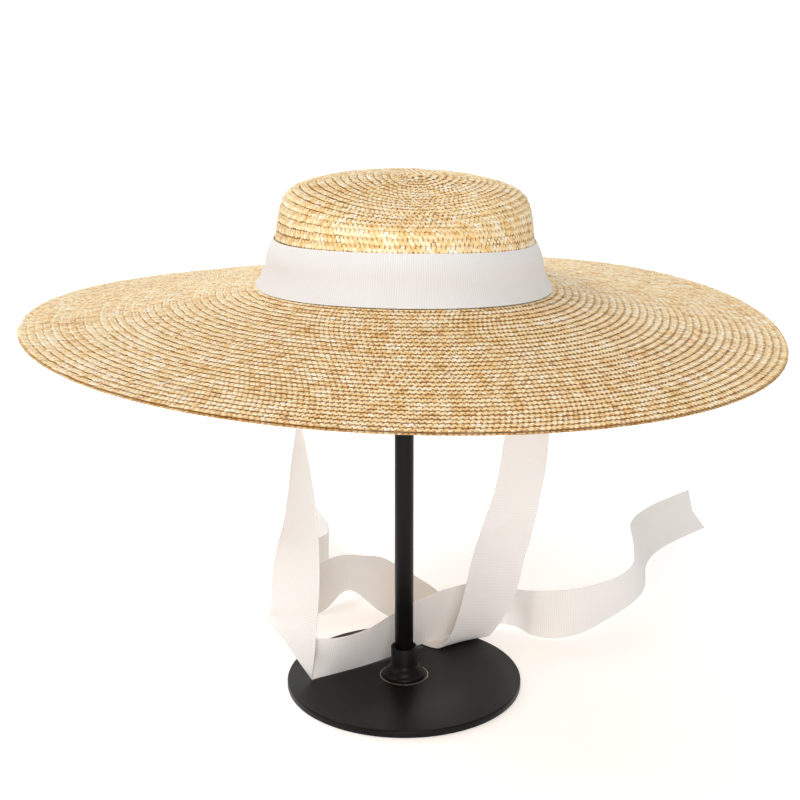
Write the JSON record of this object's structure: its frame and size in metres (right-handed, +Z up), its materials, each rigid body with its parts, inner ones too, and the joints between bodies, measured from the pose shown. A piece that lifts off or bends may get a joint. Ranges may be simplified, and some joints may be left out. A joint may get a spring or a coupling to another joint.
{
  "type": "boater hat on display stand",
  "caption": "Wide-brimmed boater of sewn straw braid with a ribbon band and long ribbon ties, held up on a round-footed post stand.",
  "frame": {"origin": "centre of the underside of the stand's round foot", "axes": "+Z up along the post, -Y towards the hat's front, +X to the right of someone who looks at the front"},
  "size_m": [0.5167, 0.5621, 0.3523],
  "materials": {
    "straw": "plaited wheat straw, sewn in rows, dry with a slight natural gloss",
    "ribbon": "off-white grosgrain ribbon, matt, with fine cross ribs",
    "stand_metal": "satin black powder coat"
  },
  "bodies": {
    "root": {"crown": "straw", "brim": "straw", "hat_band": "ribbon", "tie_left": "ribbon", "tie_right": "ribbon", "stand_base": "stand_metal", "stand_collar": "stand_metal", "stand_post": "stand_metal", "stand_top": "stand_metal"}
  },
  "joints": []
}
